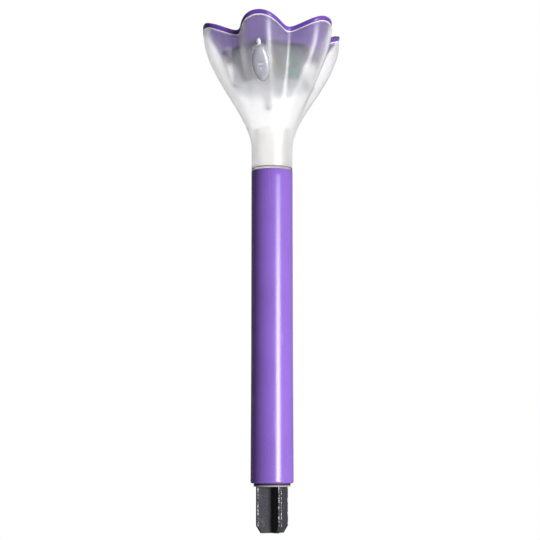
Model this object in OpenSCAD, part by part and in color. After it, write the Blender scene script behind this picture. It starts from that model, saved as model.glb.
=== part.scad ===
// Tulip-headed light on a plain tube, with its cross-ribbed ground stake stowed point-up in the tube's foot.
// Millimetres, +Z up. The origin is the middle of the plug's end face, and one petal's crest points along -Y.

/* [Tube] */
// Outside diameter of the handle tube
tube_d = 20; // [16:0.5:30]
// Length of the handle tube
tube_len = 150; // [90:5:300]
// Wall of the handle tube
tube_wall = 1.6; // [1:0.1:2.5]
// How far the foot of the tube is belled out, on the radius
foot_bell = 0.2; // [0:0.05:0.25]
// Length of the belled stretch at the foot
foot_bell_len = 60; // [20:5:80]
// Rounding of the foot's outer edge
foot_round = 1; // [0.2:0.1:1]

/* [Stake] */
// Length of the plug that stands out of the tube
plug_len = 21.5; // [10:0.5:40]
// Thickness of the stake's ribs
rib_t = 1.8; // [1.2:0.1:3]
// Gap between the plug's ribs and the bore of the tube, on the radius
plug_gap = 0.25; // [0.1:0.05:0.5]
// Gap between the blade's ribs and the bore of the tube, on the radius
blade_gap = 0.5; // [0.3:0.1:1]
// How far the collar stands past the bore of the tube, on the radius
collar_lap = 0.3; // [0.2:0.05:0.8]
// Thickness of the collar
collar_t = 1.5; // [1:0.1:3]
// Length of the blade above the collar
blade_len = 118; // [60:1:120]
// Length of the blade's point
point_len = 46; // [20:1:55]
// Width of the chamfer on the plug's corners
plug_chamfer_w = 2.3; // [0.5:0.1:3]
// Height of the chamfer on the plug's corners
plug_chamfer_h = 3.4; // [0.5:0.1:5]
// Turn of the ribs about the tube's axis, in degrees
stake_turn = 39; // [0:1:89]

/* [Neck bush] */
// Thickness of the flange that shows between tube and head
flange_t = 1.2; // [0.8:0.1:2]
// Length of the spigot inside the tube
lower_spigot_len = 18; // [10:0.5:25]
// Length of the spigot inside the head's neck
upper_spigot_len = 19; // [10:0.5:22]
// Wall of the bush
bush_wall = 1.2; // [0.8:0.1:2]
// Sliding gap of the bush in the tube and in the neck, on the radius
bush_gap = 0.05; // [0.02:0.01:0.1]

/* [Petal shell] */
// Number of petals
petals = 6; // [6:1:6]
// Height of the straight neck
neck_len = 10; // [6:0.5:20]
// Height of the bell, from neck to petal tip
bell_h = 57.5; // [50:0.5:80]
// How far a petal's crest stands out past the grooves, at the rim
petal_depth = 9.1; // [6:0.1:12]
// How narrow the grooves are against the petals: 1 makes both alike
groove_narrowing = 1.6; // [1:0.1:2.5]
// How far the rim dips between petal tips
scallop = 5.4; // [1:0.1:6]
// Wall of the shell, measured square to the surface
shell_wall = 1.3; // [1:0.1:2]
// How much the flare swells past an even S-curve
flare_fullness = 0.95; // [0:0.05:1.5]

/* [Cap] */
// Thickness of the lip that lies on the shell's rim
lip_t = 2.1; // [1.5:0.1:3]
// Step in the underside of the lip, which leaves a dark line above the shell's rim
lip_step = 0.4; // [0.2:0.05:0.6]
// How far the cap's wall leans in from the petals, at its foot
cap_lean = 5; // [0:0.5:6]
// Wall of the cap
cap_wall = 1.2; // [0.8:0.1:2]
// Gap between cap and shell, on the radius
cap_gap = 0.3; // [0.2:0.05:0.6]
// Depth of the dish below the petal tips
dish_depth = 7.7; // [7:0.1:10]
// Thickness of the dish's floor
floor_t = 1.5; // [1:0.1:3]
// How far the skirt hangs below the underside of the floor
skirt_drop = 1.5; // [0.5:0.1:3]

/* [Solar panel] */
// Side of the square panel
panel_side = 28; // [20:0.5:30]
// Thickness of the panel's board
panel_board_t = 1; // [0.6:0.1:1.6]
// Thickness of the clear resin over the cells
resin_t = 0.8; // [0.5:0.1:1.5]
// Number of cell strips
strips = 4; // [2:1:6]

/* [Battery and housing] */
// Diameter of the battery
battery_d = 10.5; // [8:0.1:12]
// Length of the battery, over its button
battery_len = 28.5; // [24:0.5:36]
// Room for the contact at each end of the battery
contact_room = 1.9; // [1.5:0.1:3]
// Wall of the battery housing
housing_wall = 1.2; // [0.8:0.1:2]
// Room for wires under the battery
wire_room = 1.3; // [1.2:0.1:2]
// Room between the battery and the cap
top_room = 3.7; // [3:0.1:6]
// Thickness of the gasket between housing and cap
gasket_t = 0.8; // [0.5:0.1:1.5]
// Gap between the housing's flats and the grooves of the cap
housing_gap = 2.7; // [2:0.1:6]

/* [Light] */
// Diameter of the LED's body
led_d = 5; // [3:0.5:5]
// Length of the LED's body, flange included
led_len = 8.8; // [6:0.1:9]
// Bare lead between the housing and the LED
led_drop = 2.3; // [1:0.1:6]
// How far the LED hangs off the middle
led_shift = 2; // [0:0.1:3]

/* [Push button] */
// Width of the oval button
button_w = 8.2; // [6:0.1:9]
// Length of the oval button, along the petal
button_l = 17; // [12:0.1:18]
// Travel of the button
button_travel = 0.8; // [0.4:0.05:1]
// Gap between the button and its hole
button_gap = 0.2; // [0.1:0.05:0.4]
// How far the middle of the button stands proud of the petal
button_proud = 0.5; // [0.2:0.05:1]
// Height of the button's middle above the underside of the battery housing
button_up = 4.2; // [3:0.1:8]
// Distance from the middle of the button to the indicator above it
indicator_up = 11; // [10.8:0.1:14]

/* [Hidden] */
$fn = 96;

// Tube and stake
tube_r = tube_d / 2;
bore_r = tube_r - tube_wall;
foot_z = plug_len + collar_t;
tube_top_z = foot_z + tube_len;
rib_r = bore_r - plug_gap;
blade_r = bore_r - blade_gap;
collar_r = bore_r + collar_lap;
tip_half_w = 1.2;
arc_steps = 6;

// Battery housing: a hexagon whose flats face the grooves between the petals
cos30 = cos(30);
housing_in_r = battery_len / 2 + contact_room + battery_d / 2 * tan(30);
housing_r = housing_in_r + housing_wall / cos30;
housing_flat = housing_r * cos30;
housing_h = housing_wall + wire_room + battery_d + top_room;
housing_turn = 30;

// Head: the groove radius clears the housing, and the petals stand out from it
neck_r = tube_r - 0.1;
neck_bore_r = neck_r - shell_wall;
neck_z = tube_top_z + flange_t;
flare_z = neck_z + neck_len;
tip_z = flare_z + bell_h;
groove_r = housing_flat + housing_gap + cap_wall + cap_gap + shell_wall + 2.3;
rim_r = groove_r + petal_depth;
groove_start = 0.1;
groove_end = 1;
tuck = 0.06;
tuck_h = 1.3;
tuck_edge = 0.1;
bell_start_z = flare_z - 1;
seat_gap = 0.1;
lobe_steps = 12;
bell_levels = 12;
wall_levels = 4;

// Cap
floor_top_z = tip_z - dish_depth;
floor_z = floor_top_z - floor_t;
skirt_z = floor_z - skirt_drop;
hub_r = groove_r - shell_wall - cap_gap - cap_wall - 1.4;
hub_lap = 1;
hub_skin = 0.05;
past = 1;

// What hangs below the cap
housing_top_z = floor_z - gasket_t;
housing_z = housing_top_z - housing_h;
inner_floor_z = housing_z + housing_wall;
battery_z = inner_floor_z + wire_room + battery_d / 2;
front_flat = housing_r - 1.2;
boss_d = 5;
boss_ring_r = front_flat - housing_wall - boss_d / 2 - 0.2;
boss_angles = [60, 240];
boss_z = inner_floor_z + 6;
boss_root = 0.5;
screw_d = 2.2;
screw_len = 12;
screw_head_d = 4.2;
screw_head_h = 0.9;
screw_gap = 0.1;
pilot_top_z = housing_z + screw_head_h + screw_len + 1;

// Circuit board, standing against the front flat of the housing
board_w = 6;
board_h = 12;
board_t = 1;
board_x = 6.5;
board_y = -(housing_in_r * cos30 - 2.6);
board_z = inner_floor_z + 0.8;
coil_d = 2.2;
coil_h = 10;

led_z = housing_z - led_drop - led_len;
led_flange_r = led_d / 2 + 0.3;
led_flange_t = 1;
lead_gap = 2.54;
lead_d = 0.5;
wire_d = 1.1;
spring_d = 0.5;
sleeve_t = 0.15;
button_d = 3.6;
button_h = 1;
plate_t = 0.4;
wire_hole_d = 3;
board_back_y = board_y + board_t + wire_d / 2;
wire_rise = 1.6;
cell_margin = 1.6;
cell_gap = 0.4;
cell_t = 0.25;
chip_side = 3;
chip_t = 1;
chip_up = 5;
coil_up = 1;
plate_side = 6;
spring_turns = 2;
spring_steps = 14;
spring_top_r = 2;
spring_flare = 1.6;

function smooth(t) = let (c = max(0, min(1, t))) c * c * (3 - 2 * c);
function swell(t) = let (c = max(0, min(1, t))) c * c * (1 - c) * (1 - c);
function bell_t(z) = (z - flare_z) / bell_h;

// Radius of a petal's crest at height z, and how deep the grooves are there
function crest_r(z) = neck_r + (rim_r - neck_r)
    * (smooth(bell_t(z)) + flare_fullness * swell(bell_t(z)));
function groove_depth(z) = petal_depth * smooth((bell_t(z) - groove_start) / (groove_end - groove_start));
function notch(a) = (1 - cos(petals * a)) / 2;
function shell_r(a, z) = crest_r(z) - groove_depth(z) * pow(notch(a), groove_narrowing);
function rim_z(a) = tip_z - scallop * notch(a);
function wall_across(z) = shell_wall * sqrt(1 + pow(crest_r(z + 0.5) - crest_r(z - 0.5), 2));
function inner_r(a, z) = shell_r(a, z) - wall_across(z);
function cap_lean_in(a, z) = cap_lean * (1 - notch(a)) * smooth((rim_z(a) - z) / (rim_z(a) - skirt_z));
function cap_r(a, z) = inner_r(a, z) - cap_gap - cap_lean_in(a, z);

// Push button on the front petal. Depths are measured inwards from the petal's crest, square to it.
button_z = housing_z + button_up;
function crest_tilt(z) = atan((crest_r(z + 0.5) - crest_r(z - 0.5)));
button_tilt = crest_tilt(button_z);
flange_lap = 0.8;
flange_depth = shell_wall + 1.3;
button_flange_t = 0.6;
switch_side = 5;
switch_t = 1.6;
switch_board_side = 5.6;
switch_board_up = 0.4;
switch_board_t = 0.8;
board_gap = 0.2;
board_back = (crest_r(button_z) - front_flat - board_gap
    - sin(button_tilt) * (switch_board_side / 2 - switch_board_up)) / cos(button_tilt);
switch_back = board_back - switch_board_t;
switch_front = switch_back - switch_t;
plunger_r = 1.5;
plunger_gap = 0.05;
plunger_front = switch_front - button_travel - 0.1;
plunger_back = switch_back - 0.2 - button_travel - 0.05;
stem_r = 1.5;
oval_sides = 48;
button_edge = 0.9;
button_crown = 0.92;
indicator_w = 1.9;
indicator_l = 3.4;
indicator_tail = 0.2;
indicator_edge = 0.1;
indicator_proud = 0.6;
indicator_crown = 0.85;
indicator_z = button_z + indicator_up * cos(button_tilt);
switch_wire_x = -5.4;
switch_wire_z = button_z + sin(button_tilt) * board_back;
switch_wire_in_z = battery_z + 0.4;

// A solid swept round the axis: section(a) is a closed outline of [radius, height] points at each angle
module swept_round(section, steps) {
    outlines = [for (i = [0 : steps - 1]) section(i * 360 / steps)];
    m = len(outlines[0]);
    points = [for (i = [0 : steps - 1]) let (a = i * 360 / steps)
        for (p = outlines[i]) [p[0] * sin(a), -p[0] * cos(a), p[1]]];
    faces = [for (i = [0 : steps - 1], j = [0 : m - 1]) let (n = (i + 1) % steps, k = (j + 1) % m)
        each [[i * m + j, i * m + k, n * m + k], [i * m + j, n * m + k, n * m + j]]];
    polyhedron(points, faces, convexity = 6);
}

// A wire along a smooth curve through the given points
function unit(v) = v / norm(v);
function tangent(p, i) = unit(p[min(i + 1, len(p) - 1)] - p[max(i - 1, 0)]);
function squared(n, t) = unit(n - (n * t) * t);
function normals(p, i = 0, n = undef) = i == len(p) ? [] :
    let (t = tangent(p, i), m = squared(is_undef(n) ? (abs(t[2]) < 0.9 ? [0, 0, 1] : [1, 0, 0]) : n, t))
    concat([m], normals(p, i + 1, m));
function between(a, b, c, d, t) = 0.5 * (2 * b + (c - a) * t + (2 * a - 5 * b + 4 * c - d) * t * t
    + (3 * b - a - 3 * c + d) * t * t * t);
function smooth_line(p, steps = 4) = concat([for (i = [0 : len(p) - 2], s = [0 : steps - 1])
    between(p[max(i - 1, 0)], p[i], p[i + 1], p[min(i + 2, len(p) - 1)], s / steps)], [p[len(p) - 1]]);
module swept_wire(p, d, sides = 8) {
    ns = normals(p);
    last = len(p) - 1;
    points = [for (i = [0 : last]) let (u = ns[i], v = cross(tangent(p, i), u))
        for (k = [0 : sides - 1]) p[i] + d / 2 * (cos(360 * k / sides) * u + sin(360 * k / sides) * v)];
    sides_faces = [for (i = [0 : last - 1], k = [0 : sides - 1]) let (n = (k + 1) % sides)
        each [[i * sides + n, i * sides + k, (i + 1) * sides + k],
              [i * sides + n, (i + 1) * sides + k, (i + 1) * sides + n]]];
    ends = [[for (k = [0 : sides - 1]) k], [for (k = [sides - 1 : -1 : 0]) last * sides + k]];
    polyhedron(points, concat(sides_faces, ends), convexity = 6);
}

module in_housing() rotate([0, 0, housing_turn]) children();
module on_crest(z) translate([0, -crest_r(z), z]) rotate([90 + crest_tilt(z), 0, 0]) children();
module at_bosses() for (a = boss_angles) rotate([0, 0, a]) translate([boss_ring_r, 0, 0]) children();
module hexagon(r) circle(r = r, $fn = 6);
module housing_outline(inset) intersection() {
    hexagon(housing_r - inset / cos30);
    rotate(-housing_turn) translate([-housing_r, inset - front_flat]) square([2 * housing_r, 2 * housing_r]);
}

// A solid of ovals stacked outwards along +Z: each row is [how far the oval is set in, height]
module oval_stack(w, l, rows) {
    points = [for (row = rows, k = [0 : oval_sides - 1]) let (a = 360 * k / oval_sides)
        [(w / 2 - row[0]) * cos(a), (l / 2 - row[0]) * sin(a), row[1]]];
    top = (len(rows) - 1) * oval_sides;
    skin = [for (i = [0 : len(rows) - 2], k = [0 : oval_sides - 1]) let (n = (k + 1) % oval_sides,
        b = i * oval_sides, t = b + oval_sides) each [[b + n, b + k, t + k], [b + n, t + k, t + n]]];
    ends = [[for (k = [0 : oval_sides - 1]) k], [for (k = [oval_sides - 1 : -1 : 0]) top + k]];
    polyhedron(points, concat(skin, ends), convexity = 4);
}
function domed(inset, low, high) = [for (i = [1 : arc_steps]) let (a = 90 * i / arc_steps)
    [inset * (1 - cos(a)), low + (high - low) * sin(a)]];
module oval_prism(w, l, low, high) oval_stack(w, l, [[0, low], [0, high]]);

// One rib plate, as wide as the stake and rib_t thick
module rib_plate() {
    half = [[rib_r - plug_chamfer_w, 0], [rib_r, plug_chamfer_h], [rib_r, foot_z], [blade_r, foot_z],
        [blade_r, foot_z + blade_len - point_len], [tip_half_w, foot_z + blade_len]];
    rotate([90, 0, 0]) linear_extrude(rib_t, center = true)
        polygon(concat(half, [for (i = [len(half) - 1 : -1 : 0]) [-half[i][0], half[i][1]]]));
}

module ground_stake() color("#2b2b30") rotate([0, 0, stake_turn]) {
    rib_plate();
    rotate([0, 0, 90]) rib_plate();
    translate([0, 0, plug_len]) cylinder(r = collar_r, h = collar_t);
}

module handle_tube() color("#8450c0") {
    round_foot = [for (i = [0 : arc_steps]) let (a = 90 * i / arc_steps)
        [tube_r + foot_bell - foot_round + foot_round * sin(a), foot_z + foot_round - foot_round * cos(a)]];
    rotate_extrude() polygon(concat([[bore_r, foot_z]], round_foot,
        [[tube_r, foot_z + foot_bell_len], [tube_r, tube_top_z], [bore_r, tube_top_z]]));
}

module neck_bush() color("#f2efe6") rotate_extrude() {
    low_r = bore_r - bush_gap;
    high_r = neck_bore_r - bush_gap;
    hole_r = min(low_r, high_r) - bush_wall;
    polygon([[hole_r, tube_top_z - lower_spigot_len], [low_r, tube_top_z - lower_spigot_len],
        [low_r, tube_top_z], [neck_r, tube_top_z], [neck_r, neck_z], [high_r, neck_z],
        [high_r, neck_z + upper_spigot_len], [hole_r, neck_z + upper_spigot_len]]);
}

module petal_shell() color("#e4e2ea", 0.6) {
    tucked = function(z) z < flare_z + tuck_h ? tuck : 0;
    outline = function(a) let (
        heights = [for (i = [0 : bell_levels]) i == 0 ? bell_start_z : i == 1 ? flare_z + tuck_h - tuck_edge :
            flare_z + (rim_z(a) - flare_z) * i / bell_levels])
        concat([for (z = heights) [shell_r(a, z) - tucked(z), z]],
            [for (i = [bell_levels : -1 : 0]) let (z = heights[i]) [inner_r(a, z) + tucked(z), z]]);
    rotate_extrude() translate([neck_bore_r, neck_z]) square([shell_wall, neck_len]);
    difference() {
        swept_round(outline, petals * lobe_steps);
        on_crest(button_z) oval_prism(button_w + 2 * button_gap, button_l + 2 * button_gap,
            -flange_depth, flange_depth);
        on_crest(indicator_z) oval_prism(indicator_w, indicator_l, -flange_depth, flange_depth);
    }
}

// Lip, wall and skirt of the cap, down to where the flat hub begins
module cap_petals() {
    hub_edge = hub_r - hub_lap;
    outline = function(a) let (rim = rim_z(a) + seat_gap, top = rim + lip_t, out = shell_r(a, rim))
        concat([[hub_edge, floor_z + hub_skin], [cap_r(a, floor_z) - cap_wall, floor_z + hub_skin],
                [cap_r(a, skirt_z) - cap_wall, skirt_z]],
            [for (i = [0 : wall_levels]) let (z = skirt_z + (rim - skirt_z) * i / wall_levels)
                [cap_r(a, z), z]],
            [[out - lip_step, rim], [out - lip_step, rim + lip_step], [out, rim + lip_step], [out, top]],
            [for (i = [0 : wall_levels]) let (z = top - (top - floor_top_z) * i / wall_levels)
                [cap_r(a, z) - cap_wall, i == wall_levels ? z - hub_skin : z]],
            [[hub_edge, floor_top_z - hub_skin]]);
    swept_round(outline, petals * lobe_steps);
}

module petal_cap() color("#7a48b4") difference() {
    union() {
        cap_petals();
        translate([0, 0, floor_z]) cylinder(r = hub_r, h = floor_t);
        in_housing() at_bosses() translate([0, 0, boss_z])
            cylinder(d = boss_d, h = floor_z + boss_root - boss_z);
    }
    in_housing() at_bosses() translate([0, 0, boss_z - past])
        cylinder(d = screw_d, h = pilot_top_z - boss_z + past);
    in_housing() translate([board_x, board_back_y + wire_rise + 0.1, floor_z - past])
        cylinder(d = wire_hole_d, h = floor_t + 2 * past);
}

module panel_board() color("#20242e") translate([0, 0, floor_top_z])
    linear_extrude(panel_board_t) square(panel_side, center = true);

module cell_strips() color("#1c2c5c") {
    side = panel_side - 2 * cell_margin;
    pitch = side / strips;
    for (i = [0 : strips - 1])
        translate([-side / 2, -side / 2 + pitch * i + cell_gap / 2, floor_top_z + panel_board_t])
            cube([side, pitch - cell_gap, cell_t]);
}

module panel_resin() color("#c8d4e8", 0.5) difference() {
    translate([0, 0, floor_top_z + panel_board_t]) linear_extrude(resin_t) square(panel_side, center = true);
    cell_strips();
}

module housing_gasket() color("#3a3a3e") in_housing() translate([0, 0, housing_top_z])
    linear_extrude(gasket_t) difference() {
        housing_outline(0);
        housing_outline(housing_wall);
    }

module battery_housing() color("#dcdce0", 0.7) difference() {
    union() {
        in_housing() translate([0, 0, housing_z]) linear_extrude(housing_wall) housing_outline(0);
        in_housing() translate([0, 0, housing_z]) linear_extrude(housing_h) difference() {
            housing_outline(0);
            housing_outline(housing_wall);
        }
        in_housing() at_bosses() translate([0, 0, housing_z]) cylinder(d = boss_d, h = boss_z - housing_z);
        switch_bracket();
    }
    in_housing() at_bosses() {
        translate([0, 0, housing_z - past]) cylinder(d = screw_d + 2 * screw_gap, h = housing_h);
        translate([0, 0, housing_z - past]) cylinder(d = screw_head_d + 2 * screw_gap, h = past + screw_head_h);
    }
    for (s = [-1, 1]) translate([-led_shift + s * lead_gap / 2, 0, housing_z - past])
        cylinder(d = wire_d + 0.3, h = housing_wall + 2 * past);
    in_housing() translate([switch_wire_x, -housing_flat - past, switch_wire_z]) rotate([-90, 0, 0])
        cylinder(d = 2 * wire_d + 0.6, h = housing_wall + 2 * past);
}

// Wedge on the housing's front flat that carries the switch board square to the button
module switch_bracket() {
    half = switch_board_side / 2 - 0.6;
    low = button_z + sin(button_tilt) * board_back + cos(button_tilt) * (switch_board_up - half);
    high = low + 2 * half * cos(button_tilt);
    back = function(z) crest_r(button_z) - board_back * cos(button_tilt)
        + (z - button_z - sin(button_tilt) * board_back) * tan(button_tilt);
    rotate([90, 0, 90]) translate([0, 0, -half]) linear_extrude(2 * half)
        polygon([[-front_flat + 0.3, low], [-back(low), low], [-back(high), high], [-front_flat + 0.3, high]]);
}

module housing_screws() color("#b8b8bc") in_housing() at_bosses() {
    translate([0, 0, housing_z]) cylinder(d = screw_head_d, h = screw_head_h);
    translate([0, 0, housing_z]) cylinder(d = screw_d, h = screw_head_h + screw_len);
}

module circuit_board() color("#3a9a80") in_housing()
    translate([board_x - board_w / 2, board_y, board_z]) cube([board_w, board_t, board_h]);

module driver_chip() color("#202024") in_housing()
    translate([board_x - chip_side / 2, board_y - chip_t, board_z + chip_up])
        cube([chip_side, chip_t, chip_side]);

module coil_inductor() color("#5a6a70") in_housing()
    translate([board_x - board_w / 2 - coil_d, board_y - coil_d / 2, board_z + coil_up])
        cylinder(d = coil_d, h = coil_h);

module battery_can() color("#c4c6c8") in_housing() translate([-battery_len / 2, 0, battery_z])
    rotate([0, 90, 0]) {
        cylinder(d = battery_d - 2 * sleeve_t, h = battery_len - button_h);
        translate([0, 0, battery_len - button_h]) cylinder(d = button_d, h = button_h);
    }

module battery_sleeve() color("#4aa68c") in_housing() translate([-battery_len / 2 + 1, 0, battery_z])
    rotate([0, 90, 0]) linear_extrude(battery_len - button_h - 2) difference() {
        circle(d = battery_d);
        circle(d = battery_d - 2 * sleeve_t);
    }

module spring_contact() color("#d0d2d4") in_housing() {
    reach = contact_room - spring_d;
    end_x = -battery_len / 2 - spring_d / 2;
    points = spring_turns * spring_steps;
    coil = [for (i = [0 : points])
        let (s = i / points, r = spring_top_r + spring_flare * s, a = 360 * i / spring_steps)
        [end_x - reach * s, r * cos(a), battery_z + r * sin(a)]];
    swept_wire(coil, spring_d, 6);
}

module plate_contact() color("#d0d2d4") in_housing()
    translate([battery_len / 2, -plate_side / 2, battery_z - plate_side / 2])
        cube([plate_t, plate_side, plate_side]);

module led_lens() color("#f4f4fa", 0.8) translate([-led_shift, 0, led_z]) {
    dome_r = led_d / 2;
    rotate_extrude() polygon(concat(
        [for (i = [0 : 2 * arc_steps]) let (a = 90 * i / (2 * arc_steps))
            [dome_r * sin(a), dome_r - dome_r * cos(a)]],
        [[dome_r, led_len - led_flange_t], [led_flange_r, led_len - led_flange_t],
            [led_flange_r, led_len], [0, led_len]]));
}

module led_leads() color("#c8c8cc") for (s = [-1, 1]) {
    x = -led_shift + s * lead_gap / 2;
    translate([x, 0, led_z + led_len])
        cylinder(d = lead_d, h = housing_z + housing_wall + 0.4 - led_z - led_len);
}

module push_button() color("#c4c4ce", 0.8) on_crest(button_z) {
    oval_stack(button_w, button_l, concat(
        [[-flange_lap, -flange_depth - button_flange_t], [-flange_lap, -flange_depth], [0, -flange_depth],
            [0, -button_edge]],
        domed(button_w / 2 * button_crown, -button_edge, button_proud)));
    translate([0, 0, -plunger_front + plunger_gap])
        cylinder(r = stem_r, h = plunger_front - plunger_gap - flange_depth - button_flange_t / 2);
}

module indicator_lens() color("#e8e8f0", 0.8) on_crest(indicator_z)
    oval_stack(indicator_w, indicator_l, concat([[0, -shell_wall - indicator_tail], [0, indicator_edge]],
        domed(indicator_w / 2 * indicator_crown, indicator_edge, indicator_proud)));

module switch_plunger() color("#202024") on_crest(button_z)
    translate([0, 0, -plunger_back]) cylinder(r = plunger_r, h = plunger_back - plunger_front);

module switch_body() color("#303034") on_crest(button_z) difference() {
    translate([-switch_side / 2, -switch_side / 2, -switch_back]) cube([switch_side, switch_side, switch_t]);
    translate([0, 0, -switch_back + 0.2]) cylinder(r = plunger_r + 0.1, h = switch_t);
}

module switch_board() color("#3a9a80") on_crest(button_z)
    translate([-switch_board_side / 2, switch_board_up - switch_board_side / 2, -board_back])
        cube([switch_board_side, switch_board_side, switch_board_t]);

module panel_wire(side) in_housing() {
    x = board_x + side * 0.9;
    behind = board_back_y + 0.1;
    swept_wire(smooth_line([[board_x + side * 0.8, behind + wire_rise, floor_top_z - 0.2],
        [board_x + side * 0.8, behind + wire_rise, floor_z], [x, behind + 1.2, floor_z - 1.4],
        [x, behind, board_z + board_h - 2.2], [x, behind, board_z + board_h - 3.6]]), wire_d);
}
module panel_wire_red() color("#c03030") panel_wire(-1);
module panel_wire_black() color("#202020") panel_wire(1);

module battery_wires() color("#c03030") in_housing() {
    plate_x = battery_len / 2 + plate_t + wire_d / 2 + 0.05;
    behind = board_back_y + 0.1;
    swept_wire(smooth_line([[plate_x, -2.6, battery_z], [plate_x - 0.4, -5.6, battery_z],
        [12.6, -8.6, battery_z], [10.4, -11.2, battery_z - 0.6], [board_x + 1.6, behind, battery_z - 1]]), wire_d);
    swept_wire(smooth_line([[-plate_x - 0.3, -4.7, battery_z], [-plate_x + 1, -6.6, battery_z],
        [-11, -8, battery_z], [-6, -8.1, battery_z], [0, -9, battery_z], [board_x - 2.6, -11, battery_z - 1],
        [board_x - 1.4, behind, battery_z - 2.4]]), wire_d);
}

module switch_wires() color("#e0c040") for (s = [-1, 1]) {
    side = switch_board_side / 2 + wire_d / 2 + 0.15;
    y = -crest_r(button_z) + cos(button_tilt) * board_back;
    in_housing() swept_wire(smooth_line([
        [side * cos30 + (y - 0.2) * 0.5 - 0.2, -side * 0.5 + (y - 0.2) * cos30, switch_wire_z + s * 0.62],
        [switch_wire_x - 0.6, -housing_flat - 1.1, switch_wire_z + s * 0.6],
        [switch_wire_x, -housing_flat, switch_wire_z + s * 0.6],
        [switch_wire_x + 0.3, -housing_flat + housing_wall, switch_wire_z + s * 0.6],
        [switch_wire_x + 2.4, board_y - 0.2, switch_wire_in_z + s * 0.7],
        [0, board_y + board_t + 1, switch_wire_in_z + s * 0.8],
        [board_x - board_w / 2 + 0.8, board_back_y + 0.1, switch_wire_in_z + s * 1]]), wire_d);
}

ground_stake();
handle_tube();
neck_bush();
petal_shell();
petal_cap();
panel_board();
cell_strips();
panel_resin();
housing_gasket();
battery_housing();
housing_screws();
circuit_board();
driver_chip();
coil_inductor();
battery_can();
battery_sleeve();
spring_contact();
plate_contact();
led_lens();
led_leads();
push_button();
indicator_lens();
switch_plunger();
switch_body();
switch_board();
panel_wire_red();
panel_wire_black();
battery_wires();
switch_wires();
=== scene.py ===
import math

import bpy
from bpy.props import FloatProperty, FloatVectorProperty, IntProperty, PointerProperty
from mathutils import Matrix, Vector, noise


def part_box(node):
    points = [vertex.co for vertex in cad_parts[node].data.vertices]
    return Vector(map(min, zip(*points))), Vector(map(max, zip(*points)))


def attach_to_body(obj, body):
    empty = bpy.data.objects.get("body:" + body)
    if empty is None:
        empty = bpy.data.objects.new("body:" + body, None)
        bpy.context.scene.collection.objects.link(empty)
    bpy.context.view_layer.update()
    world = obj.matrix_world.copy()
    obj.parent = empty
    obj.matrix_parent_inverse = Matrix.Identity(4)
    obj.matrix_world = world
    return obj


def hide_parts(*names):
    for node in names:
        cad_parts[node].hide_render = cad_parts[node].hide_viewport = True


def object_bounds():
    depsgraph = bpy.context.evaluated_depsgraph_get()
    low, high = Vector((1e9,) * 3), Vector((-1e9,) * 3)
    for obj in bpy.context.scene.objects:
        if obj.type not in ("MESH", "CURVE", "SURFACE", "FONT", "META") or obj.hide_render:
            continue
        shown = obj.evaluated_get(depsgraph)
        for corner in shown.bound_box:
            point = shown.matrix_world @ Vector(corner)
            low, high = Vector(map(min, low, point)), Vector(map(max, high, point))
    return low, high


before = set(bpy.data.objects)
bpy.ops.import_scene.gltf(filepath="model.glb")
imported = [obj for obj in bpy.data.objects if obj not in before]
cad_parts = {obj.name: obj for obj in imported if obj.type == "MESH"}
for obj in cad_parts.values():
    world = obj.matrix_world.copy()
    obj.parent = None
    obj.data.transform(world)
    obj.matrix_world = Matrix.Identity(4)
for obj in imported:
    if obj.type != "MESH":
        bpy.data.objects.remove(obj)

bl_info = {
    "name": "Tulip Stake Light",
    "version": (1, 0, 0),
    "blender": (4, 5, 0),
    "location": "View3D > Sidebar > Tulip",
    "description": "Builds a tulip-headed garden light on its tube and ground stake",
    "category": "Object",
}

CAD_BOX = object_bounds()
MM = 0.001
TAU = 2 * math.pi


# ---------------------------------------------------------------- sizes and colours

def colour(name, description, default):
    """A colour property in linear RGB."""
    return FloatVectorProperty(
        name=name, description=description, subtype="COLOR", size=3, min=0, max=1, default=default)


def length(name, description, default):
    """A length property, in metres."""
    return FloatProperty(name=name, description=description, unit="LENGTH", min=0, default=default)


class TULIP_PG_petals(bpy.types.PropertyGroup):
    """Shape of the petal shell and the cap in its mouth"""
    count: IntProperty(name="Petals", description="Number of petals", min=3, default=6)
    neck: length("Neck", "Height of the straight neck", 10 * MM)
    depth: length("Groove depth", "How far a crest stands out past the grooves at the rim", 9.1 * MM)
    scallop: length("Scallop", "How far the rim dips between the petal tips", 5.4 * MM)
    wall: length("Wall", "Wall of the shell, square to its surface", 1.3 * MM)
    fullness: FloatProperty(
        name="Fullness", description="How much the flare swells past an even S-curve", default=0.95)
    narrowing: FloatProperty(
        name="Narrowing", description="How narrow the grooves are against the petals", min=1, default=1.6)
    lip: length("Lip", "Thickness of the cap's lip", 2.1 * MM)
    lip_step: length("Lip step", "Step in the underside of the lip", 0.4 * MM)
    cap_lean: length("Cap lean", "How far the cap's wall leans in from the petals at its foot", 5 * MM)
    cap_wall: length("Cap wall", "Wall of the cap", 1.2 * MM)
    cap_gap: length("Cap gap", "Gap between cap and shell", 0.3 * MM)
    seat_gap: length("Seat gap", "Gap between the cap's lip and the shell's rim", 0.1 * MM)
    skirt: length("Skirt", "How far the cap's skirt hangs below its floor", 1.5 * MM)


class TULIP_PG_button(bpy.types.PropertyGroup):
    """Shape of the oval push button and the indicator above it"""
    width: length("Width", "Width of the button", 8.2 * MM)
    length: length("Length", "Length of the button along the petal", 17 * MM)
    gap: length("Gap", "Gap between the button and its hole", 0.2 * MM)
    up: length("Height", "Height of the button's middle above the housing's underside", 4.2 * MM)
    proud: length("Proud", "How far the button's middle stands out", 0.5 * MM)
    indicator_up: length("Indicator", "Distance from the button to the indicator", 11 * MM)
    indicator_width: length("Indicator width", "Width of the indicator", 1.9 * MM)
    indicator_length: length("Indicator length", "Length of the indicator", 3.4 * MM)


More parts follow.
